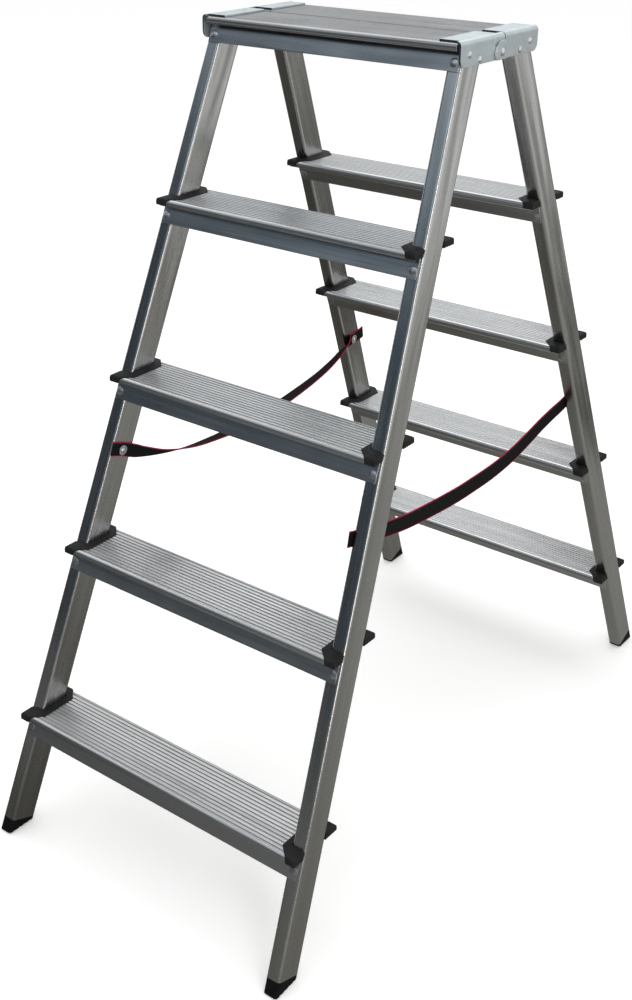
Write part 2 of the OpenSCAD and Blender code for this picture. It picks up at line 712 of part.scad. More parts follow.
guard(true, false, 2);  // rear_right_guard_2
guard(true, false, 3);  // rear_right_guard_3
guard(true, false, 4);  // rear_right_guard_4
step_rivets(false);  // front_step_rivets
step_rivets(true);  // rear_step_rivets
hinge_rivet_set(false);  // front_hinge_rivets
hinge_rivet_set(true);  // rear_hinge_rivets
strap_rivets(false);  // front_strap_rivets
strap_rivets(true);  // rear_strap_rivets
strap_washers(false);  // front_strap_washers
strap_washers(true);  // rear_strap_washers
strap(true);  // left_strap
strap(false);  // right_strap
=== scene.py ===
# %% [markdown]
# Trestle ladder, dressed for its picture.
#
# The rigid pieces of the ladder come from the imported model: stiles, steps, hinge plates,
# rivets, guards and feet already have their true shapes there. What is left for this file is
# what a solid can't show: the two webbing straps as cloth, and the finish of every surface.
# The model is loaded first and never moved, so each new piece can be placed by plain numbers.

# %% Load the fixed model
import math

import bpy
import numpy as np
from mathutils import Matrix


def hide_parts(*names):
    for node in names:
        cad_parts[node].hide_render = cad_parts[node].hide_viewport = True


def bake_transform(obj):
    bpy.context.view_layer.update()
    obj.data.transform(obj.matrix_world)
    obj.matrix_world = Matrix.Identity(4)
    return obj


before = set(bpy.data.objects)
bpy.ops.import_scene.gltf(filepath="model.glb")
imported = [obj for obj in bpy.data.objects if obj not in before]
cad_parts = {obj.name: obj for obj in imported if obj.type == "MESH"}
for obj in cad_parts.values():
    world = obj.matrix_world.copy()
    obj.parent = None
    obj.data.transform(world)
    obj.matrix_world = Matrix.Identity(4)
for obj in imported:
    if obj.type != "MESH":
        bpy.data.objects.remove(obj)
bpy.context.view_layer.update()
scene = bpy.context.scene

# %% [markdown]
# The camera stands where the photographer stood. It could be set by eye, but the straight
# edges of the ladder give it exactly: the height of the eye, the way it looks, and how far the
# middle of the lens lies from the middle of the picture. The lens shift puts that middle back
# in its place, because the picture was trimmed after it was taken.

# %% Camera
PICTURE = (632, 1000)
SENSOR = 36.0
LENS_PX = 1352.656
LENS_MIDDLE = (292.337, 386.953)
EYE = (0.978009, -1.423215, 1.276325)
TO_RIGHT = (0.7926106, 0.6097172, 0.0036534)
TO_FLOOR = (0.2371857, -0.3028020, -0.9230676)
AHEAD = (-0.5617040, 0.7324997, -0.3846203)

lens = bpy.data.cameras.new("camera")
lens.sensor_width = SENSOR
lens.lens = LENS_PX * SENSOR / PICTURE[1]
lens.shift_x = (PICTURE[0] / 2 - LENS_MIDDLE[0]) / PICTURE[1]
lens.shift_y = (LENS_MIDDLE[1] - PICTURE[1] / 2) / PICTURE[1]
camera = bpy.data.objects.new("camera", lens)
turn = np.eye(4)
turn[:3, 0], turn[:3, 1], turn[:3, 2] = TO_RIGHT, np.negative(TO_FLOOR), np.negative(AHEAD)
turn[:3, 3] = EYE
camera.matrix_world = turn.T
scene.collection.objects.link(camera)
scene.camera = camera
print("camera with a lens of", round(lens.lens, 2), "mm at", EYE)

# %% [markdown]
# Two spreader straps keep the frames from sliding apart. Each is 20 mm webbing, black with red
# edges, held to a stile at either end by a rivet and a washer, and it hangs a little slack. A
# cloth simulation could find the hang, but the photograph already shows it: the right strap
# hangs almost upright, the left one turns on its edge and lies flat in the middle. So the line
# of each strap is a short table, with the same points that the solid strap follows. Only the
# right strap's twist is turned the other way here, because the photograph shows its broad face.

# %% Where the straps hang
LEAN = math.radians(21.7)  # of the stiles, from upright
SPLAY = math.radians(2.75)  # of the stiles, outwards
PLATFORM_H = 1.050
TOP_W = 0.374  # over both stiles, at the top
STILE_W = 0.020
FRONT_Y = 0.0715255  # from the split to the stiles' front faces, at the top
STRAP_H = 0.506  # of the strap rivets
STRAP_Y = 0.2664839  # of the strap rivets, to the front and to the back
STRAP_BOW = 0.030  # over which the plane turns from one frame to the other
STRAP_W = 0.020
STRAP_T = 0.0016
SEAT = 0.00005  # of air between two faces that touch
PRESSED = 97  # hundredths of STRAP_Y from which the washers hold a strap flat

# Each row: place and drop in hundredths of STRAP_Y, twist in degrees, and the lift away from
# the stile's plane in hundredths of half the strap's width.
RIGHT_ROUTE = [
    (-110, -2.6, 0, 0), (-105, -1.2, 0, 0), (-100, 0, 0, 0), (-95, 1.5, 0, 0),
    (-88, 3.4, -2, 4), (-77, 6, -4, 8), (-64, 8.6, -6, 12), (-51, 10.6, -8, 16),
    (-38, 12.2, -10, 20), (-25, 13.6, -12, 22), (-12, 14.6, -12, 22), (1, 15, -12, 22),
    (14, 15, -12, 22), (27, 14.2, -10, 20), (40, 12.4, -8, 16), (54, 9.4, -6, 12),
    (67, 6.2, -4, 8), (79, 3.8, -2, 4), (88, 2.3, 0, 0), (95, 1, 0, 0),
    (100, 0, 0, 0), (105, -0.8, 0, 0), (110, -1.8, 0, 0)]
LEFT_ROUTE = [
    (-107, -2.4, 0, 0), (-104, -1.4, 0, 0), (-100, 0, 0, 0), (-97, 1.3, 0, 0),
    (-92, 3.6, -12, 22), (-88, 5.4, -26, 40), (-77, 9.5, -50, 62), (-64, 13, -64, 76),
    (-51, 15.4, -74, 82), (-38, 16.6, -81, 82), (-25, 17.4, -86, 82), (-12, 17.6, -89, 82),
    (1, 17.4, -90, 82), (14, 16.8, -90, 82), (27, 15.7, -88, 80), (40, 14.2, -85, 76),
    (54, 12.2, -80, 70), (67, 9.8, -74, 60), (79, 6.4, -66, 50), (85, 3.9, -60, 44),
    (88, 2.6, -54, 41), (91, 1.4, -42, 40), (93.5, 0.6, -22, 39), (97, 0.1, 0, 0),
    (100, 0, 0, 0), (105, -0.8, 0, 0), (110, -1.8, 0, 0)]
print("routes of", len(RIGHT_ROUTE), "and", len(LEFT_ROUTE), "rows")

# %% [markdown]
# A strap's surface needs three things: the plane that it hangs along, a smooth curve through
# the rows of its table, and a section to carry along that curve. A Bezier curve with handles
# would do as well, but a cubic through all rows needs no handles and keeps every chosen point.
# The section is flat, with a rounded, beaded edge where the red threads lie.


# %% Surface of a strap
def inner_plane(y, z):
    """x of the right stiles' inner faces over y and z: half the top width less one stile, and
    wider by the splay for every metre down either frame. Between the frames the plane turns
    smoothly from one to the other."""
    down = math.sin(LEAN) * (FRONT_Y - np.hypot(y, STRAP_BOW)) + math.cos(LEAN) * (z - PLATFORM_H)
    return TOP_W / 2 - STILE_W / math.cos(SPLAY) - math.tan(SPLAY) * down


def smooth(rows, steps):
    """A curve through all rows: each row's slope is half the way from the row before it to the
    row after it, and a cubic joins two neighbours with those slopes."""
    rows = np.asarray(rows, float)
    slope = np.gradient(rows, axis=0)
    t = np.linspace(0, len(rows) - 1, steps * (len(rows) - 1) + 1)
    i = np.minimum(t.astype(int), len(rows) - 2)
    f = (t - i)[:, None]
    return ((2 * f**3 - 3 * f**2 + 1) * rows[i] + (f**3 - 2 * f**2 + f) * slope[i]
            + (3 * f**2 - 2 * f**3) * rows[i + 1] + (f**3 - f**2) * slope[i + 1])


def webbing_section(width, thick, points=17, core=0.78, bead_from=0.80, bead_run=0.08):
    """One turn round the strap's section: across runs from edge to edge and back, and the half
    thickness is the core's, grows to the full bead near an edge and closes in a round end."""
    b = np.sin(np.linspace(-math.pi / 2, math.pi / 2, points))
    bead = core + (1 - core) * np.clip((np.abs(b) - bead_from) / bead_run, 0, 1)
    end = np.clip((np.abs(b) - (1 - thick / width)) / (thick / width), 0, 1)
    half = thick / 2 * bead * np.sqrt(1 - end**2)
    return (np.concatenate([b, b[-2:0:-1]]) * width / 2,
            np.concatenate([half, -half[-2:0:-1]]))


def strap_surface(route, side, steps=8):
    """The section carried along the route: across lies square to the line, turned by the twist,
    and the thickness lies square to across. x follows the stiles' inner plane, and where the
    washers press it the strap lies flat on that plane."""
    place, drop, twist, lift = smooth(route, steps).T
    pressed = np.abs(place) >= PRESSED
    twist = np.where(pressed, 0, np.clip(twist, -90, 90))
    lift = np.where(pressed, 0, np.maximum(lift, 0))
    y0, z0 = place * STRAP_Y / 100, STRAP_H - drop * STRAP_Y / 100
    twist, lift = np.radians(twist)[:, None], (lift / 100 * STRAP_W / 2)[:, None]
    dy, dz = np.gradient(y0), np.gradient(z0)
    up = np.stack([-dz, dy]) / np.hypot(dy, dz)
    across, thick = webbing_section(STRAP_W, STRAP_T)
    upward = across * np.cos(twist) + thick * np.sin(twist)
    y = y0[:, None] + upward * up[0][:, None]
    z = z0[:, None] + upward * up[1][:, None]
    stand = STRAP_T / 2 + 2 * SEAT + lift
    x = side * (inner_plane(y, z) - stand - thick * np.cos(twist) + across * np.sin(twist))
    line = np.stack([side * (inner_plane(y0, z0) - stand[:, 0]), y0, z0], axis=1)
    return np.stack([x, y, z], axis=2), line, across


print("a section of", len(webbing_section(STRAP_W, STRAP_T)[0]), "points")

# %% [markdown]
# The grid of points becomes a mesh of quads with a cap at either end, and a UV map in metres on
# which the weave is drawn later. Each strap then takes the place of its solid, which is hidden.
# Its ends are riveted to both frames, and its length is printed.


def band_mesh(name, grid, along, across):
    """A closed band from a grid of rings: a quad between neighbours, a flat cap at either end,
    faces turned outwards, and a UV map of metres along and across."""
    n, m = grid.shape[:2]
    i, k = np.meshgrid(np.arange(n - 1), np.arange(m), indexing="ij")
    a, b = i * m + k, i * m + (k + 1) % m
    quads = np.stack([a, b, b + m, a + m], axis=-1).reshape(-1, 4)
    verts = grid.reshape(-1, 3)
    p, q, r, s = (verts[quads[:, j]] for j in range(4))
    from_middle = (p + r) / 2 - verts.mean(0)
    outward = np.einsum("ij,ij->i", np.cross(r - p, s - q), from_middle).sum() > 0
    ends = [np.arange(m)[::-1], np.arange(m) + (n - 1) * m]
    faces = quads.tolist() + [e.tolist() for e in ends]
    if not outward:
        faces = [f[::-1] for f in faces]
    mesh = bpy.data.meshes.new(name)
    mesh.from_pydata(verts.tolist(), [], faces)
    mesh.polygons.foreach_set("use_smooth", np.arange(len(faces)) < len(quads))
    corner = np.empty(len(mesh.loops), int)
    mesh.loops.foreach_get("vertex_index", corner)
    uv = np.stack([along[corner // m], across[corner % m]], axis=1)
    mesh.uv_layers.new(name="strap").data.foreach_set("uv", uv.ravel())
    piece = bpy.data.objects.new(name, mesh)
    scene.collection.objects.link(piece)
    return piece


def hang_strap(name, route, side):
    """One strap: its surface, the solid that it replaces, and its length, which is printed."""
    grid, line, across = strap_surface(route, side)
    pieces = np.linalg.norm(np.diff(line, axis=0), axis=1)
    along = np.concatenate([[0], np.cumsum(pieces)])
    strap = band_mesh(name + "_webbing", grid, along, across)
    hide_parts(name)
    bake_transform(strap)
    print(strap.name, "is", round(along[-1], 3), "m long with", len(strap.data.polygons), "faces")
    return strap


left_webbing = hang_strap("left_strap", LEFT_ROUTE, -1)
right_webbing = hang_strap("right_strap", RIGHT_ROUTE, 1)

# %% [markdown]
# The finishes are built from nodes. A node tree could be drawn by hand in the shader editor,
# but in code each step can be read and repeated. Three small helpers keep that code short: one
# fills the inputs of a node, one adds a node, and one adds a node that calculates.


# %% Helpers for nodes
def feed(tree, node, inputs):
    """Fills a node's inputs: a socket is linked, any other value is set on the input itself."""
    for socket, value in inputs.items():
        if isinstance(value, bpy.types.NodeSocket):
            tree.links.new(value, node.inputs[socket])
        else:
            node.inputs[socket].default_value = value


def add(tree, kind, inputs=None, **settings):
    """One new node in the tree, with its settings and its inputs."""
    made = tree.nodes.new(kind)
    for name, value in settings.items():
        setattr(made, name, value)
    feed(tree, made, inputs or {})
    return made


def math_node(tree, how, *values):
    """A math node's result."""
    return add(tree, "ShaderNodeMath", dict(enumerate(values)), operation=how).outputs[0]


print("helpers feed, add, math_node")

# %% [markdown]
# Several finishes need the same effects: the fine lines that a die leaves along drawn metal,
# the marks of hands, worn edges with a painted highlight, dust, and the grain of moulded
# plastic. They could be copied into each material, but a node group is made once, so that a
# change to it reaches them all.


# %% Effects as node groups
def new_group(name, inputs, outputs):
    """An empty effect with named sockets: inputs maps a name to its kind and first value."""
    tree = bpy.data.node_groups.new(name, "ShaderNodeTree")
    for label, (kind, first) in inputs.items():
        socket = tree.interface.new_socket(label, in_out="INPUT", socket_type="NodeSocket" + kind)
        if first is not None:
            socket.default_value = first
    for label, kind in outputs.items():
        tree.interface.new_socket(label, in_out="OUTPUT", socket_type="NodeSocket" + kind)
    return tree, tree.nodes.new("NodeGroupInput").outputs, tree.nodes.new("NodeGroupOutput").inputs


def effect(tree, name, inputs):
    """Places an effect in a material and returns its outputs."""
    return add(tree, "ShaderNodeGroup", inputs, node_tree=bpy.data.node_groups[name]).outputs


PLACE = ("Vector", None)  # an input that takes a place and has no first value
print("helpers new_group, effect")

# %% [markdown]
# Drawn aluminium carries lines along its length, thousands of them and far thinner than they
# are long. Noise that is squeezed across and stretched along gives them. The group needs its
# place turned so that z runs along the metal, which each material does with a Mapping node.
# A second, broader noise stands for the soft bands that a wide flat face shows, and a third for
# the slow waves in the face itself, which bend what it mirrors into long streaks.


# %% Lines of drawn metal
def vector_node(tree, how, first, second):
    """A vector node's result: a number for a product or a distance, otherwise a vector."""
    made = add(tree, "ShaderNodeVectorMath", {0: first, 1: second}, operation=how)
    return made.outputs["Value" if how in ("DOT_PRODUCT", "DISTANCE") else "Vector"]


def clouds(tree, place, scale, detail, roughness=0.5):
    """Soft noise, about 0.5 on average."""
    made = add(tree, "ShaderNodeTexNoise", {
        "Vector": place, "Scale": scale, "Detail": detail, "Roughness": roughness})
    return made.outputs[0]


def ramp(tree, value, low, high):
    """0 at low, 1 at high, a straight line between them, and held to 0 and 1 outside."""
    made = add(tree, "ShaderNodeMapRange", {"Value": value, "From Min": low, "From Max": high})
    return made.outputs[0]


tree, given, out = new_group(
    "drawn_lines",
    {"Place": PLACE, "Lines per metre": ("Float", 900.0), "Bands per metre": ("Float", 60.0),
     "Waves per metre": ("Float", 40.0)},
    {"Lines": "Float", "Bands": "Float", "Waves": "Float"})
for label, stretch, detail in (("Lines", 0.004, 3.0), ("Bands", 0.03, 2.0), ("Waves", 0.12, 1.0)):
    count = given[label + " per metre"]
    scale = add(tree, "ShaderNodeCombineXYZ", {
        "X": count, "Y": count, "Z": math_node(tree, "MULTIPLY", count, stretch)}).outputs[0]
    squeezed = vector_node(tree, "MULTIPLY", given["Place"], scale)
    noise = clouds(tree, squeezed, scale=1.0, detail=detail)
    tree.links.new(ramp(tree, noise, 0.3, 0.7), out[label])
print("effect drawn_lines")

# %% [markdown]
# Hands leave soft, cloudy marks, and edges are painted brighter or paler than the faces, partly
# as wear from rubbing and partly as a painted highlight. For the edges a Bevel node is asked how
# far a slightly rounded edge would turn the surface: where it differs from the face itself there
# is an edge. The rounded normal is worth keeping too, since no real edge is perfectly sharp.

# %% Marks of hands, and worn edges with a painted highlight
tree, given, out = new_group(
    "hand_marks", {"Place": PLACE, "Marks per metre": ("Float", 14.0)}, {"Marks": "Float"})
smears = clouds(tree, given["Place"], given["Marks per metre"], detail=5.0, roughness=0.6)
tree.links.new(ramp(tree, smears, 0.35, 0.7), out["Marks"])

tree, given, out = new_group(
    "worn_and_highlit_edges", {"Radius": ("Float", 0.0008)}, {"Edge": "Float", "Rounded": "Vector"})
rounded = add(tree, "ShaderNodeBevel", {"Radius": given["Radius"]}, samples=6).outputs[0]
flat = add(tree, "ShaderNodeNewGeometry").outputs["True Normal"]
same = vector_node(tree, "DOT_PRODUCT", rounded, flat)
tree.links.new(ramp(tree, same, 0.99, 0.75), out["Edge"])
tree.links.new(rounded, out["Rounded"])
print("effects hand_marks, worn_and_highlit_edges")

# %% [markdown]
# Dust lies in patches and only on faces that look up, so noise is multiplied by how far a face
# looks up. The grain of a mould is a field of tiny round cells, which a smooth cell pattern
# gives at once. Both could be painted, but then they would have to be painted on every piece.


# %% Dust and grain
def parts(tree, vector):
    """X, Y and Z of a vector."""
    return add(tree, "ShaderNodeSeparateXYZ", {0: vector}).outputs


def facing(tree, which="True Normal"):
    """X, Y and Z of the way that the surface faces."""
    return parts(tree, add(tree, "ShaderNodeNewGeometry").outputs[which])


tree, given, out = new_group(
    "settled_dust", {"Place": PLACE, "Amount": ("Float", 0.3)}, {"Dust": "Float"})
patchy = ramp(tree, clouds(tree, given["Place"], scale=55.0, detail=4.0), 0.38, 0.75)
upward = ramp(tree, facing(tree, "Normal")["Z"], 0.3, 1.0)
dust = math_node(tree, "MULTIPLY", patchy, upward)
tree.links.new(math_node(tree, "MULTIPLY", dust, given["Amount"]), out["Dust"])

tree, given, out = new_group(
    "moulded_grain", {"Place": PLACE, "Grains per metre": ("Float", 1400.0)}, {"Grain": "Float"})
cells = add(tree, "ShaderNodeTexVoronoi", {
    "Vector": given["Place"], "Scale": given["Grains per metre"]}, feature="SMOOTH_F1")
tree.links.new(cells.outputs["Distance"], out["Grain"])
print("effects settled_dust, moulded_grain")

# %% [markdown]
# Treads take marks of their own. On the front treads the grooves are painted darker, as shade;
# on the rear treads and the platform they are painted paler, as dust and as painted light over
# their shade. The platform's upper faces are darkened, partly in patches like wear from soles and
# partly as painted shade, and the gap between the platform's halves is painted dark as shade.
# Painting such marks by hand would take long, but all treads lie a whole number of rises apart,
# so the depth below the nearest tread tells a groove from a rib. The round noses start at the
# same depth. They face halfway up, so only level floors and steep walls count as a groove.

# %% Wear and painted shade of the treads
STEP_RISE = 0.221  # from one tread to the next
GROOVE_STARTS, GROOVE_FULL, GROOVE_ENDS = 0.00005, 0.0003, 0.0015  # metres below the tread
LOOKS_UP, STEEP, LEVEL = 0.2, 0.6, 0.98  # Z of the way that a face looks
HALF_GAP = 0.0042  # from the split of the platform


def spread(tree, value, low, high):
    """A value from 0 to 1 spread over low to high."""
    return add(tree, "ShaderNodeMapRange", {"Value": value, "To Min": low, "To Max": high}).outputs[0]


tree, given, out = new_group(
    "tread_wear_and_shade", {"Place": PLACE}, {"Groove": "Float", "Trodden_and_shaded": "Float", "Gap": "Float"})
spot = parts(tree, given["Place"])
below_top = math_node(tree, "SUBTRACT", PLATFORM_H, spot["Z"])
depth = math_node(tree, "FLOORED_MODULO", below_top, STEP_RISE)
sunk = math_node(tree, "MULTIPLY", ramp(tree, depth, GROOVE_STARTS, GROOVE_FULL),
                 math_node(tree, "LESS_THAN", depth, GROOVE_ENDS))
up = facing(tree)["Z"]
upward = math_node(tree, "GREATER_THAN", up, LOOKS_UP)
wall = math_node(tree, "MULTIPLY", upward, math_node(tree, "LESS_THAN", up, STEEP))
level = math_node(tree, "GREATER_THAN", up, LEVEL)
groove = math_node(tree, "MULTIPLY", sunk, math_node(tree, "ADD", wall, level))
tree.links.new(groove, out["Groove"])
# Upper faces: a painted shade on every face that looks up, in patches like wear from soles.
soles = ramp(tree, clouds(tree, given["Place"], scale=16.0, detail=4.0), 0.2, 0.6)
trodden_and_shaded = math_node(tree, "MULTIPLY", spread(tree, soles, 0.75, 1.0), upward)
tree.links.new(trodden_and_shaded, out["Trodden_and_shaded"])
# The gap between the platform's halves: painted shade.
from_split = math_node(tree, "ABSOLUTE", spot["Y"])
tree.links.new(math_node(tree, "LESS_THAN", from_split, HALF_GAP), out["Gap"])
print("effect tread_wear_and_shade")

# %% [markdown]
# A finish is a material with one Principled shader, which stands for almost any real surface.
# Separate gloss and diffuse shaders could be mixed instead, but its plain sockets (colour,
# roughness, metal, normal) say more clearly what the surface is. Every finish then does the
# same few things: it blends colours, tints them where a mask is, and turns heights to relief.


# %% Start of a finish
def new_finish(name):
    """An empty material with its Principled shader and the place on the object."""
    finish = bpy.data.materials.new(name)
    finish.use_nodes = True
    tree = finish.node_tree
    return finish, tree, tree.nodes["Principled BSDF"], add(tree, "ShaderNodeTexCoord").outputs


def blend_colour(tree, share, first, second):
    """A colour between two, by share."""
    return add(tree, "ShaderNodeMix", {0: share, 6: first, 7: second}, data_type="RGBA").outputs[2]


def tint(tree, colour, mask, amount, towards):
    """A colour moved towards another where the mask is, by an amount."""
    return blend_colour(tree, math_node(tree, "MULTIPLY", mask, amount), colour, towards)


def relief(tree, height, strength, distance, **more):
    """The normal of a surface with small heights on it."""
    inputs = {"Height": height, "Strength": strength, "Distance": distance, **more}
    return add(tree, "ShaderNodeBump", inputs).outputs[0]


print("helpers new_finish, blend_colour, tint, relief")

# %% [markdown]
# Stiles, steps and platform are mill-finish aluminium: plain metal straight from the die, a
# little dull, neither polished nor painted. Its colour is a middle grey, and the brightness of
# a face comes from what it mirrors. The lines give a faint grain in tone and gloss, the bands a
# slow change, and the edges are painted paler, as wear and as a painted highlight. A material
# for each piece could be made by hand, but one function makes them all: they differ in the way
# that the lines run, and treads also take the wear, painted shade and painted light of the
# group above.

# %% Drawn aluminium
LINE_SHARE, BAND_SHARE = 0.45, 0.55  # of the change in tone
GLOSS_SWING, MARK_DULL, GROOVE_DULL = 0.05, 0.07, 0.5  # in roughness
TREAD_EDGE, STILE_EDGE = 0.0003, 0.0007  # radii, in metres
WORN_HIGHLIT_ALUMINIUM, GRIME_AND_SHADE = (0.72, 0.72, 0.71, 1), (0.10, 0.10, 0.105, 1)


def drawn_aluminium(name, turn, dark, light, dull, groove=None, grooved=0.0, dusty=0.0, trodden_and_shaded=0.0):
    """Mill-finish aluminium whose lines run along the z of the turned place. A tread's grooves go
    towards the colour groove and duller by grooved, lose their metal gleam to dust by dusty, and its
    upper faces go darker by trodden_and_shaded, as wear and painted shade. The colour groove is
    painted shade on the front treads, and dust with painted light on the rear treads and the
    platform. The platform's gap is painted dark as shade."""
    finish, tree, shader, place = new_finish(name)
    along = add(tree, "ShaderNodeMapping", {"Vector": place["Object"], "Rotation": turn}).outputs[0]
    lines = effect(tree, "drawn_lines", {
        "Place": along, "Lines per metre": 1100.0, "Bands per metre": 70.0, "Waves per metre": 42.0})
    marks = effect(tree, "hand_marks", {"Place": place["Object"], "Marks per metre": 11.0})["Marks"]
    edges = effect(tree, "worn_and_highlit_edges", {"Radius": TREAD_EDGE if groove else STILE_EDGE})
    tone = math_node(tree, "ADD", math_node(tree, "MULTIPLY", lines["Lines"], LINE_SHARE),
                     math_node(tree, "MULTIPLY", lines["Bands"], BAND_SHARE))
    colour = blend_colour(tree, tone, dark, light)
    # Edges tinted paler: wear, and a painted highlight.
    colour = tint(tree, colour, edges["Edge"], amount=0.5, towards=WORN_HIGHLIT_ALUMINIUM)
    gloss = spread(tree, lines["Lines"], dull - GLOSS_SWING, dull + GLOSS_SWING)
    rough = math_node(tree, "ADD", gloss, math_node(tree, "MULTIPLY", marks, MARK_DULL))
    metal = 1.0
    if groove:
        wear = effect(tree, "tread_wear_and_shade", {"Place": place["Object"]})
        # Painted: shade in front grooves, light over rear grooves, shade on upper faces and the gap.
        colour = tint(tree, colour, wear["Groove"], amount=grooved, towards=groove)
        colour = tint(tree, colour, wear["Trodden_and_shaded"], amount=trodden_and_shaded, towards=GRIME_AND_SHADE)
        colour = tint(tree, colour, wear["Gap"], amount=0.85, towards=GRIME_AND_SHADE)
        metal = math_node(tree, "SUBTRACT", 1.0, math_node(tree, "MULTIPLY", wear["Groove"], dusty))
        duller = math_node(tree, "MULTIPLY", wear["Groove"], GROOVE_DULL * grooved)
        rough = math_node(tree, "ADD", rough, duller)
    waves = relief(tree, lines["Waves"], strength=0.6, distance=0.0010, Normal=edges["Rounded"])
    grain = relief(tree, lines["Lines"], strength=0.05, distance=0.0003, Normal=waves)
    feed(tree, shader, {"Base Color": colour, "Roughness": rough, "Metallic": metal, "Normal": grain})
    return finish


print("finish drawn_aluminium, for stiles and treads")

# %% [markdown]
# The stiles lean and splay, so each of the four turns its lines its own way. The steps lie level
# and turn theirs along x. One finish for all could be stretched by a UV map on each piece, but
# turning the place needs no map. Front treads have painted shade in their grooves, rear ones pale
# dust that also paints light over the grooves' shade, and the platform has the most wear and
# painted shade on its upper faces.

# %% Finishes of stiles, steps and platform
STILE_DARK, STILE_LIGHT, STILE_DULL = (0.44, 0.44, 0.43, 1), (0.60, 0.60, 0.59, 1), 0.21
STEP_DARK, STEP_LIGHT, STEP_DULL = (0.52, 0.525, 0.525, 1), (0.67, 0.675, 0.68, 1), 0.30
PLATFORM_DULL = 0.26
# Grooves: painted shade on front treads, dust and painted light on rear treads and platform.
GROOVE_SHADE, DUST_AND_PAINTED_LIGHT, PALE_DUST_AND_PAINTED_LIGHT = (0.42, 0.42, 0.42, 1), (0.68, 0.69, 0.70, 1), (0.8, 0.8, 0.8, 1)
STEP_TURN = (0, -math.pi / 2, 0)

stile_finish = {
    front + side: drawn_aluminium(
        "aluminium_" + front + side,
        (LEAN if front == "front_" else -LEAN, SPLAY if side == "right_" else -SPLAY, 0),
        STILE_DARK, STILE_LIGHT, STILE_DULL)
    for front in ("front_", "rear_") for side in ("left_", "right_")}
step_finish = {
    "front": drawn_aluminium("aluminium_front_step", STEP_TURN, STEP_DARK, STEP_LIGHT, STEP_DULL,
                             groove=GROOVE_SHADE, grooved=0.3),
    "rear": drawn_aluminium("aluminium_rear_step", STEP_TURN, STEP_DARK, STEP_LIGHT, STEP_DULL,
                            groove=DUST_AND_PAINTED_LIGHT, grooved=0.9, dusty=0.85)}
platform_finish = drawn_aluminium(
    "aluminium_platform", STEP_TURN, STEP_DARK, STEP_LIGHT, PLATFORM_DULL,
    groove=PALE_DUST_AND_PAINTED_LIGHT, grooved=0.5, dusty=0.4, trodden_and_shaded=0.5)
print("finishes", [m.name for m in (*stile_finish.values(), *step_finish.values(), platform_finish)])

# %% [markdown]
# The hinge plates are pressed steel with a zinc coat, which is bluer and paler than the
# aluminium and slightly cloudy, because the coat's crystals lie at different angles. Plain noise
# could give clouds, but a soft cell pattern is closer to crystals. The same edge effect as
# before brightens the rims, as wear and painted highlight. The ends that look along y are the
# sheared ends, which have no coat, and they are painted near black as shade. Round the pivot
# the same ends are painted nearly white, a painted highlight on the rims of the ears, so the
# distance from the pivot tells which of the two an end is.

# %% Zinc plate
PIVOT_H = 1.031
EAR_REACH = 0.017  # of the bright rims, from the pivot
ENDWAYS = 0.8  # Y of the way that a sheared end looks
CRYSTAL_SHARE, MARK_SHARE = 0.6, 0.4  # of the clouds
ZINC_DARK, ZINC_LIGHT, WORN_HIGHLIT_ZINC = (0.45, 0.51, 0.53, 1), (0.59, 0.65, 0.67, 1), (0.88, 0.91, 0.93, 1)
SHEARED_END_SHADE, RIM_HIGHLIGHT = (0.03, 0.03, 0.032, 1), (0.95, 0.96, 0.97, 1)


def zinc_plate(name):
    """Zinc-coated steel: cells of slightly different tone and gloss, paler at its edges as wear and
    painted highlight. Its sheared ends are painted dark as shade, and round the pivot they are
    painted bright as a highlight on the rims."""
    finish, tree, shader, place = new_finish(name)
    crystals = add(tree, "ShaderNodeTexVoronoi", {
        "Vector": place["Object"], "Scale": 160.0, "Smoothness": 1.0},
        feature="SMOOTH_F1").outputs["Distance"]
    marks = effect(tree, "hand_marks", {"Place": place["Object"], "Marks per metre": 45.0})["Marks"]
    edges = effect(tree, "worn_and_highlit_edges", {"Radius": 0.0009})
    cloud = math_node(tree, "ADD", math_node(tree, "MULTIPLY", crystals, CRYSTAL_SHARE),
                      math_node(tree, "MULTIPLY", marks, MARK_SHARE))
    colour = blend_colour(tree, cloud, ZINC_DARK, ZINC_LIGHT)
    colour = tint(tree, colour, edges["Edge"], amount=0.75, towards=WORN_HIGHLIT_ZINC)
    endways = math_node(tree, "ABSOLUTE", facing(tree)["Y"])
    sheared = math_node(tree, "GREATER_THAN", endways, ENDWAYS)
    from_side = vector_node(tree, "MULTIPLY", place["Object"], (0, 1, 1))
    away = vector_node(tree, "DISTANCE", from_side, (0, 0, PIVOT_H))
    shaded_end = math_node(tree, "MULTIPLY", sheared, math_node(tree, "GREATER_THAN", away, EAR_REACH))
    rim_highlight = math_node(tree, "SUBTRACT", sheared, shaded_end)
    # Ends along y: painted shade away from the pivot, painted highlight on the rims near it.
    colour = tint(tree, colour, shaded_end, amount=0.85, towards=SHEARED_END_SHADE)
    colour = blend_colour(tree, rim_highlight, colour, RIM_HIGHLIGHT)
    uneven = relief(tree, crystals, strength=0.08, distance=0.0005, Normal=edges["Rounded"])
    feed(tree, shader, {"Base Color": colour, "Roughness": spread(tree, cloud, 0.34, 0.48),
                        "Metallic": 0.9, "Normal": uneven})
    return finish


zinc_finish = zinc_plate("zinc_plate")
print("finish", zinc_finish.name)

# %% [markdown]
# Rivets are plain bright metal. The tool that set them left small dents. They could be modelled,
# but a rivet's head is only a few millimetres wide, so fine noise as a relief is enough.

# %% Rivet metal
RIVET_DARK, RIVET_LIGHT = (0.58, 0.58, 0.57, 1), (0.74, 0.74, 0.73, 1)


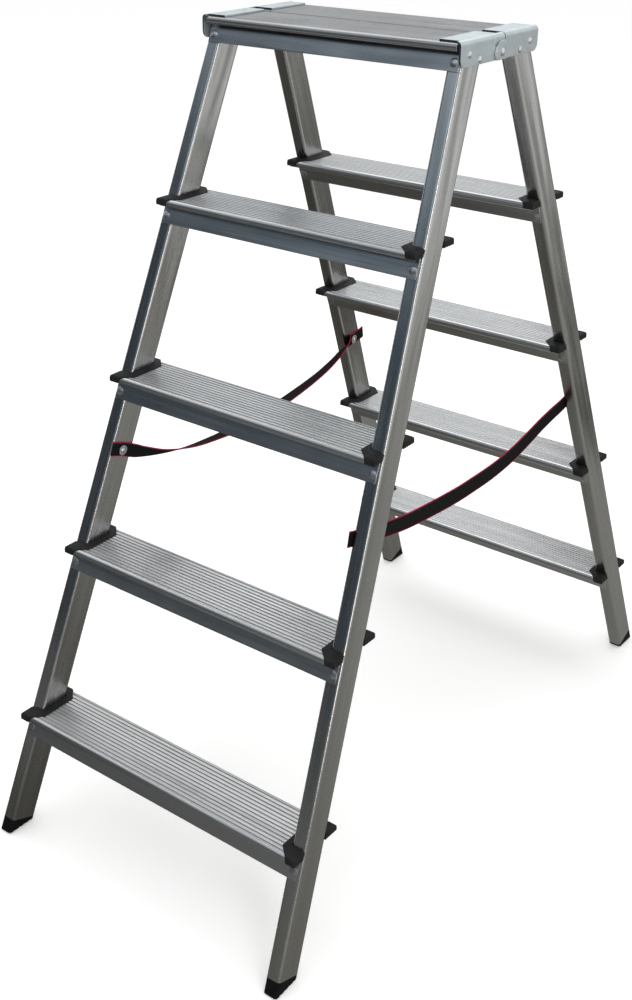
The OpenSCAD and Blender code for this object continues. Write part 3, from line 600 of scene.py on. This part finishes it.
def rivet_metal(name):
    """Bright drawn metal with small dents from the setting tool."""
    finish, tree, shader, place = new_finish(name)
    dents = clouds(tree, place["Object"], scale=420.0, detail=3.0)
    marks = effect(tree, "hand_marks", {"Place": place["Object"], "Marks per metre": 120.0})["Marks"]
    feed(tree, shader, {"Base Color": blend_colour(tree, marks, RIVET_DARK, RIVET_LIGHT),
                        "Roughness": spread(tree, marks, 0.18, 0.34), "Metallic": 1.0,
                        "Normal": relief(tree, dents, strength=0.12, distance=0.0006)})
    return finish


rivet_finish = rivet_metal("rivet_metal")
print("finish", rivet_finish.name)

# %% [markdown]
# Guards and feet are moulded black plastic. It isn't quite black, it has the fine grain of the
# mould, its upper faces gather a little dust, and its edges are painted a paler dark grey, as
# wear and as a painted highlight. A plain dark colour would look like a hole in the picture. All
# of the detail comes from the effects above, at a scale of a millimetre and less. The feet are a
# little blacker and duller than the guards.

# %% Black plastic
GUARD_DARK, GUARD_LIGHT, GUARD_GLEAM = (0.010, 0.010, 0.0105, 1), (0.017, 0.017, 0.0175, 1), 0.17
FOOT_DARK, FOOT_LIGHT, FOOT_GLEAM = (0.004, 0.004, 0.0045, 1), (0.008, 0.008, 0.0085, 1), 0.10
WORN_HIGHLIT_PLASTIC, DUST_ON_PLASTIC = (0.04, 0.04, 0.042, 1), (0.09, 0.087, 0.083, 1)
DUST_DULL = 0.3  # in roughness


def black_plastic(name, dark, light, gleam):
    """Moulded plastic: grain in relief and gloss, dust on top, edges paler by wear and painted
    highlight.
    """
    finish, tree, shader, place = new_finish(name)
    spot = place["Object"]
    grain = effect(tree, "moulded_grain", {"Place": spot, "Grains per metre": 1300.0})["Grain"]
    dust = effect(tree, "settled_dust", {"Place": spot, "Amount": 0.05})["Dust"]
    marks = effect(tree, "hand_marks", {"Place": spot, "Marks per metre": 60.0})["Marks"]
    edges = effect(tree, "worn_and_highlit_edges", {"Radius": 0.0008})
    colour = blend_colour(tree, marks, dark, light)
    # Edges tinted grey: wear, and a painted highlight.
    colour = tint(tree, colour, edges["Edge"], amount=0.3, towards=WORN_HIGHLIT_PLASTIC)
    colour = blend_colour(tree, dust, colour, DUST_ON_PLASTIC)
    rough = math_node(tree, "ADD", spread(tree, grain, 0.52, 0.62),
                      math_node(tree, "MULTIPLY", dust, DUST_DULL))
    grained = relief(tree, grain, strength=0.25, distance=0.0004, Normal=edges["Rounded"])
    feed(tree, shader, {"Base Color": colour, "Roughness": rough, "Specular IOR Level": gleam,
                        "Normal": grained})
    return finish


guard_finish = black_plastic("guard_plastic", GUARD_DARK, GUARD_LIGHT, GUARD_GLEAM)
foot_finish = black_plastic("foot_plastic", FOOT_DARK, FOOT_LIGHT, FOOT_GLEAM)
print("finishes", guard_finish.name, foot_finish.name)

# %% [markdown]
# Webbing is woven: warp threads run along the strap and weft threads across it, over and under.
# Every thread could be modelled, but a strap has hundreds. The product of two waves, one along
# and one across, rises and falls in just that chequered way, and the strap's own UV map in
# metres keeps the threads at their true size. The outermost threads are red, so the colour
# changes with the distance from the middle.

# %% Webbing
BLACK_LOW, BLACK_HIGH = (0.005, 0.005, 0.0055, 1), (0.014, 0.014, 0.0145, 1)
RED_LOW, RED_HIGH = (0.34, 0.010, 0.042, 1), (0.60, 0.024, 0.085, 1)
FUZZ_HEIGHT = 0.4  # beside a thread's 1


def webbing(name, warp=0.0011, weft=0.0014, edge=0.0088):
    """Black webbing with red edges; the relief is the product of a wave along and one across."""
    finish, tree, shader, place = new_finish(name)
    way = parts(tree, place["UV"])
    wave = [math_node(tree, "SINE", math_node(tree, "MULTIPLY", way[axis], 2 * math.pi / size))
            for axis, size in ((0, weft), (1, warp))]
    thread = ramp(tree, math_node(tree, "MULTIPLY", *wave), 0.0, 1.0)
    fuzz = clouds(tree, place["Object"], scale=900.0, detail=3.0)
    height = math_node(tree, "ADD", thread, math_node(tree, "MULTIPLY", fuzz, FUZZ_HEIGHT))
    # Hollows of the weave painted darker than the crests: painted shade.
    black = blend_colour(tree, thread, BLACK_LOW, BLACK_HIGH)
    red = blend_colour(tree, thread, RED_LOW, RED_HIGH)
    outside = math_node(tree, "GREATER_THAN", math_node(tree, "ABSOLUTE", way[1]), edge)
    feed(tree, shader, {"Base Color": blend_colour(tree, outside, black, red),
                        "Roughness": spread(tree, thread, 0.85, 0.65), "Specular IOR Level": 0.12,
                        "Normal": relief(tree, height, strength=0.5, distance=0.0003)})
    return finish


webbing_finish = webbing("webbing")
for strap in (left_webbing, right_webbing):
    strap.data.materials.append(webbing_finish)
print("finish", webbing_finish.name, "on both straps")

# %% [markdown]
# Every node of the model now gets its finish. They could be listed one by one, but the name of
# a node says what it is, so a short list of name parts is enough, and the material slot that
# came with the model is filled again. Step rivets are aluminium like the steps.


# %% Dress the model
def finish_for(node):
    """The finish for a node, by the piece that its name ends in."""
    if node.endswith("stile"):
        return stile_finish[node[: -len("stile")]]
    if "guard" in node:
        return guard_finish
    if node.endswith("foot"):
        return foot_finish
    if node.endswith("hinge_plate") or node.endswith("washers"):
        return zinc_finish
    if node.endswith("rivets") and "step" not in node:
        return rivet_finish
    if node.endswith("platform"):
        return platform_finish
    return step_finish[node.split("_")[0]]


dressed = [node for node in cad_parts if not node.endswith("strap")]
for node in dressed:
    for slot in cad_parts[node].material_slots:
        slot.material = finish_for(node)
print("dressed", len(dressed), "nodes")

# %% [markdown]
# The studio has a wide pale floor. It is lifted a little for the camera alone, so that it is
# almost white and still keeps the shadow. More light would whiten it too, but that would also
# bleach the ladder.

# %% Floor
FAR = 40.0
FLOOR_Z = -0.002
FLOOR_PALE = (0.92, 0.92, 0.92, 1)
FLOOR_LIFT, LIFT_COLOUR = 0.25, (1, 0.96, 0.92, 1)


def lying(x0, y0, x1, y1, z):
    """Corners of a level sheet at a height."""
    return [(x0, y0, z), (x1, y0, z), (x1, y1, z), (x0, y1, z)]


def flat_sheet(name, corners, material):
    """One four-sided sheet of the studio, which isn't part of the ladder."""
    mesh = bpy.data.meshes.new(name)
    mesh.from_pydata(corners, [], [(0, 1, 2, 3)])
    mesh.materials.append(material)
    sheet = bpy.data.objects.new(name, mesh)
    scene.collection.objects.link(sheet)
    return sheet


floor_paint = bpy.data.materials.new("pale_floor")
floor_paint.use_nodes = True
tree = floor_paint.node_tree
shader = tree.nodes["Principled BSDF"]
feed(tree, shader, {"Base Color": FLOOR_PALE, "Roughness": 1.0, "Specular IOR Level": 0.0})
seen = add(tree, "ShaderNodeLightPath").outputs["Is Camera Ray"]
lift = math_node(tree, "MULTIPLY", seen, FLOOR_LIFT)
glow = add(tree, "ShaderNodeEmission", {"Color": LIFT_COLOUR, "Strength": lift})
both = add(tree, "ShaderNodeAddShader", {0: shader.outputs[0], 1: glow.outputs[0]})
feed(tree, tree.nodes["Material Output"], {"Surface": both.outputs[0]})
flat_sheet("floor", lying(-FAR, -FAR, FAR, FAR, FLOOR_Z), floor_paint)
print("a floor of", 2 * FAR, "m")

# %% [markdown]
# Metal shows what stands around it, so glowing sheets stand round the ladder. They are no lamps
# and are seen only in reflections: painted reflections. Dark ones in front and to the right give
# the front faces their blue-grey, one on the ground and a low one behind give the sides their
# warm fall from light to dark, and a tall pale one at the back gives the treads their sheen. The
# one on the ground is darkest under the ladder, a painted shadow in what the metal mirrors, and
# the low one behind darkens the rear stiles as painted shade. A grey one overhead keeps round
# edges from glaring. A picture of a room could be mirrored instead, but these sheets are plain
# and easy to move.


# %% Sheets seen only in reflections
def standing(x0, y0, x1, y1, high):
    """Corners of an upright card over a line on the ground."""
    return [(x0, y0, 0), (x1, y1, 0), (x1, y1, high), (x0, y0, high)]


def reflection_sheet(name, corners, stops, middle=None, sideways=None):
    """A sheet that glows faintly and is seen only in reflections, a painted reflection. stops give
    the glow by height, or by the distance from middle where that is given. sideways gives a
    direction, two places along it, and the factor that the glow has at either."""
    paint = bpy.data.materials.new(name)
    paint.use_nodes = True
    tree = paint.node_tree
    tree.nodes.clear()
    place = add(tree, "ShaderNodeTexCoord").outputs["Object"]
    value = vector_node(tree, "DISTANCE", place, middle) if middle else parts(tree, place)["Z"]
    reach = stops[-1][0]
    fall = add(tree, "ShaderNodeValToRGB", {0: math_node(tree, "DIVIDE", value, reach)})
    for at, colour in stops[1:-1]:
        fall.color_ramp.elements.new(at / reach).color = (*colour, 1)
    fall.color_ramp.elements[0].color = (*stops[0][1], 1)
    fall.color_ramp.elements[-1].color = (*stops[-1][1], 1)
    glow = add(tree, "ShaderNodeEmission", {"Color": fall.outputs[0]})
    if sideways:
        way, first, last, dim, bright = sideways
        run = ramp(tree, vector_node(tree, "DOT_PRODUCT", place, way), first, last)
        feed(tree, glow, {"Strength": spread(tree, run, dim, bright)})
    add(tree, "ShaderNodeOutputMaterial", {0: glow.outputs[0]})
    sheet = flat_sheet(name, corners, paint)
    sheet.visible_camera = sheet.visible_diffuse = False
    sheet.visible_shadow = sheet.visible_transmission = False
    return sheet


SIDE = 8.0
CARD_Z = -0.001
CEILING_Z = 3.9
cards = [
    # Darkest under the ladder: a painted shadow that only reflections show.
    reflection_sheet("ground_card", lying(-SIDE, -SIDE, SIDE, SIDE, CARD_Z), [
        (0.0, (0.06, 0.059, 0.053)), (0.35, (0.07, 0.068, 0.061)), (0.6, (0.09, 0.088, 0.079)),
        (1.1, (0.20, 0.197, 0.18)), (1.5, (0.29, 0.287, 0.27)), (2.1, (0.31, 0.307, 0.29)),
        (2.85, (0.41, 0.407, 0.39)), (5.3, (0.84, 0.84, 0.83)), (8.0, (0.95, 0.95, 0.95))],
        middle=(-0.8, -0.45, 0)),
    reflection_sheet("front_card", standing(-4.6, -1.2, 0.6, -3.9, 5.6), [
        (0.0, (0.03, 0.033, 0.036)), (0.8, (0.03, 0.038, 0.046)), (1.3, (0.03, 0.041, 0.052)),
        (2.0, (0.034, 0.047, 0.062)), (2.3, (0.10, 0.13, 0.16)), (2.55, (0.29, 0.34, 0.39)),
        (3.6, (0.34, 0.39, 0.44)), (5.6, (0.42, 0.46, 0.50))],
        sideways=((0.887, -0.461, 0), -2.2, 1.2, 0.7, 2.4)),
    reflection_sheet("right_card", standing(0.6, -3.9, 4.4, -1.4, 5.0), [
        (0.0, (0.10, 0.105, 0.11)), (1.2, (0.20, 0.21, 0.22)), (5.0, (0.42, 0.43, 0.44))]),
    reflection_sheet("ceiling_card", lying(-3.5, -2.6, 3.5, 1.5, CEILING_Z), [
        (0.0, (0.5, 0.5, 0.5)), (5.0, (0.62, 0.62, 0.62))]),
    reflection_sheet("rear_card", standing(-0.3, 1.2, 0.86, 1.2, 1.1), [
        (0.0, (0.09, 0.088, 0.079)), (0.25, (0.105, 0.103, 0.093)), (0.7, (0.21, 0.208, 0.198)),
        (1.1, (0.40, 0.40, 0.39))]),
    reflection_sheet("back_card", standing(-6.3, 1.2, -0.14, 6.4, 6.0), [
        (0.0, (0.10, 0.106, 0.112)), (1.6, (0.13, 0.14, 0.148)), (1.8, (0.33, 0.345, 0.36)),
        (2.0, (0.64, 0.665, 0.68)), (2.3, (0.65, 0.665, 0.675)), (2.8, (0.76, 0.77, 0.78)),
        (3.5, (1.0, 1.01, 1.02)), (4.2, (1.04, 1.05, 1.06)), (4.8, (1.3, 1.3, 1.29)),
        (6.0, (1.3, 1.3, 1.29))],
        sideways=((0.766, 0.643, 0), -1.4, 0.15, 0.82, 1.4))]
print(len(cards), "cards")

# %% [markdown]
# Two soft lamps light the ladder: a wide one overhead and a tall one to the right of the camera.
# The room is a plain pale world. It lights the ladder a little less than it shows, so that the
# background is white and colours still come out about as they are written.


# %% Lamps and room
def soft_lamp(name, at, towards, size, watts):
    """A rectangular soft lamp that looks towards a point."""
    lamp = bpy.data.lights.new(name, "AREA")
    lamp.shape, (lamp.size, lamp.size_y), lamp.energy = "RECTANGLE", size, watts
    stand = bpy.data.objects.new(name, lamp)
    ahead = np.subtract(towards, at) / np.linalg.norm(np.subtract(towards, at))
    right = np.cross(ahead, (0, 0, 1))
    right = right / np.linalg.norm(right)
    place = np.eye(4)
    place[:3, 0], place[:3, 1], place[:3, 2], place[:3, 3] = right, np.cross(right, ahead), -ahead, at
    stand.matrix_world = place.T
    stand.visible_camera = False
    scene.collection.objects.link(stand)
    return stand


soft_lamp("overhead_lamp", (-0.6, 0.6, 4.0), (0, 0, 0.5), (4.0, 4.0), 55.0)
soft_lamp("side_lamp", (2.3, -1.7, 1.25), (0, 0, 0.6), (0.5, 2.4), 16.0)

ROOM_LIGHT, ROOM_SHOWN = (0.80, 0.81, 0.82, 1), (1.0, 1.0, 1.0, 1)
room = bpy.data.worlds.new("pale_room")
scene.world = room
room.use_nodes = True
tree = room.node_tree
tree.nodes.clear()
ray = add(tree, "ShaderNodeLightPath").outputs
shown = math_node(tree, "MAXIMUM", ray["Is Camera Ray"],
                  math_node(tree, "MAXIMUM", ray["Is Glossy Ray"], ray["Is Transmission Ray"]))
level = blend_colour(tree, shown, ROOM_LIGHT, ROOM_SHOWN)
light = add(tree, "ShaderNodeBackground", {"Color": level, "Strength": 1.0})
add(tree, "ShaderNodeOutputWorld", {0: light.outputs[0]})
scene.view_settings.view_transform = "Standard"
print("two lamps and a pale room")

# %% Done
print("the scene is dressed")
